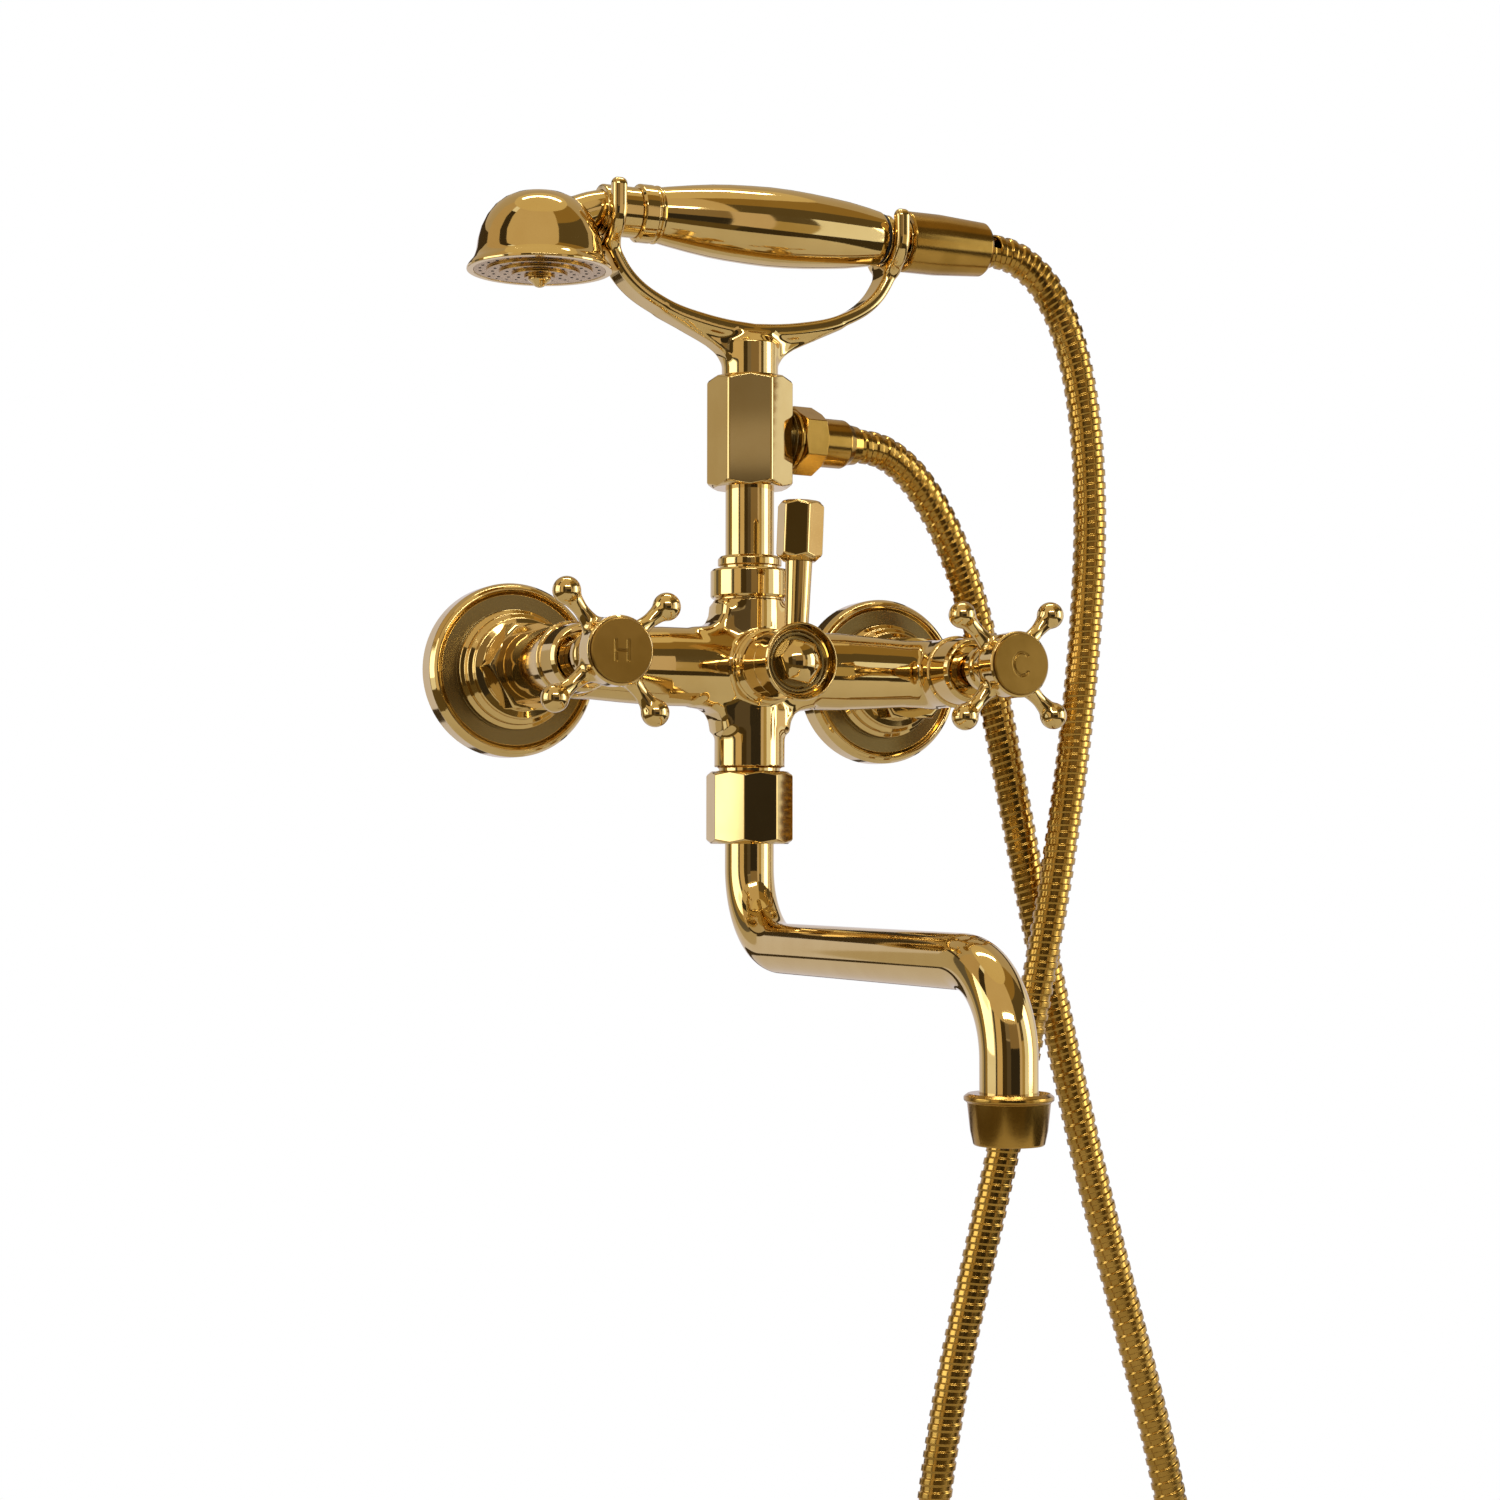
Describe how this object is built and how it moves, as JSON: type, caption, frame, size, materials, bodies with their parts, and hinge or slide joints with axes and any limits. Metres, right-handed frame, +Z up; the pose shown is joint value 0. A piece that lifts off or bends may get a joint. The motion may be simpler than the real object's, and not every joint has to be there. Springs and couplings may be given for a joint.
{
  "type": "wall mounted bath faucet",
  "caption": "Two handle wall mounted bath and shower faucet in brass with a swivel spout, lever diverter, cradle, hand shower and metal hose.",
  "frame": {"origin": "wall plane, midway between the two water inlets", "axes": "+Z up, +Y into the wall, +X to the right as seen from the room; the front faces -Y"},
  "size_m": [0.3062, 0.2604, 0.746],
  "materials": {
    "polished_brass": "polished",
    "satin_brass": "satin",
    "steel_screw": "plain",
    "black_rubber": "matt",
    "grey_plastic": "matt"
  },
  "bodies": {
    "faucet": {"wall_flange_left": "polished_brass", "wall_flange_right": "polished_brass", "wall_union_left": "polished_brass", "wall_union_right": "polished_brass", "union_nut_left": "polished_brass", "union_nut_right": "polished_brass", "mixer_body": "polished_brass", "valve_bonnet_hot": "polished_brass", "valve_bonnet_cold": "polished_brass", "cartridge_hot": "polished_brass", "cartridge_cold": "polished_brass", "diverter_bonnet": "polished_brass", "diverter_cartridge": "polished_brass", "riser_nut": "polished_brass", "riser_collar": "polished_brass", "riser_pipe": "polished_brass", "union_block": "polished_brass", "hose_nipple": "polished_brass", "cradle": "polished_brass", "spout_nut": "polished_brass", "hose_nut": "satin_brass", "hose_ferrule": "satin_brass", "flexible_hose": "satin_brass", "union_washer_left": "black_rubber", "union_washer_right": "black_rubber", "hose_washer": "black_rubber", "spout_washer": "black_rubber"},
    "valve_hot": {"spindle_hot": "polished_brass", "handle_hot": "polished_brass", "handle_screw_hot": "steel_screw", "index_cap_hot": "satin_brass"},
    "valve_cold": {"spindle_cold": "polished_brass", "handle_cold": "polished_brass", "handle_screw_cold": "steel_screw", "index_cap_cold": "satin_brass"},
    "diverter": {"diverter_spindle": "polished_brass", "diverter_knob": "polished_brass", "diverter_cap_nut": "polished_brass", "lever_stem": "polished_brass", "lever_grip": "polished_brass"},
    "spout": {"spout_pipe": "polished_brass", "spout_collar": "satin_brass", "aerator": "grey_plastic"},
    "handset": {"handset_head": "polished_brass", "spray_plate": "satin_brass", "spray_button": "polished_brass", "handset_neck": "polished_brass", "handset_ferrule": "polished_brass", "handset_grip": "polished_brass", "grip_tube": "polished_brass", "grip_seal": "black_rubber", "handset_tail": "polished_brass", "hose_sleeve": "satin_brass", "sleeve_washer": "black_rubber"}
  },
  "joints": [
    {"name": "valve_hot_turn", "type": "hinge", "parent": "faucet", "child": "valve_hot", "pos_m": [-0.075, -0.1, 0], "axis": [0, -1, 0], "range_deg": [0, 90]},
    {"name": "valve_cold_turn", "type": "hinge", "parent": "faucet", "child": "valve_cold", "pos_m": [0.075, -0.1, 0], "axis": [0, -1, 0], "range_deg": [-90, 0]},
    {"name": "diverter_turn", "type": "hinge", "parent": "faucet", "child": "diverter", "pos_m": [0, -0.085, 0], "axis": [0, -1, 0], "range_deg": [0, 180]},
    {"name": "spout_swivel", "type": "hinge", "parent": "faucet", "child": "spout", "pos_m": [0, -0.05, -0.06], "axis": [0, 0, 1], "range_deg": [-90, 60]},
    {"name": "handset_turn", "type": "hinge", "parent": "faucet", "child": "handset", "pos_m": [0, -0.05, 0.1606], "axis": [-1, 0, 0], "range_deg": [0, 75]}
  ]
}
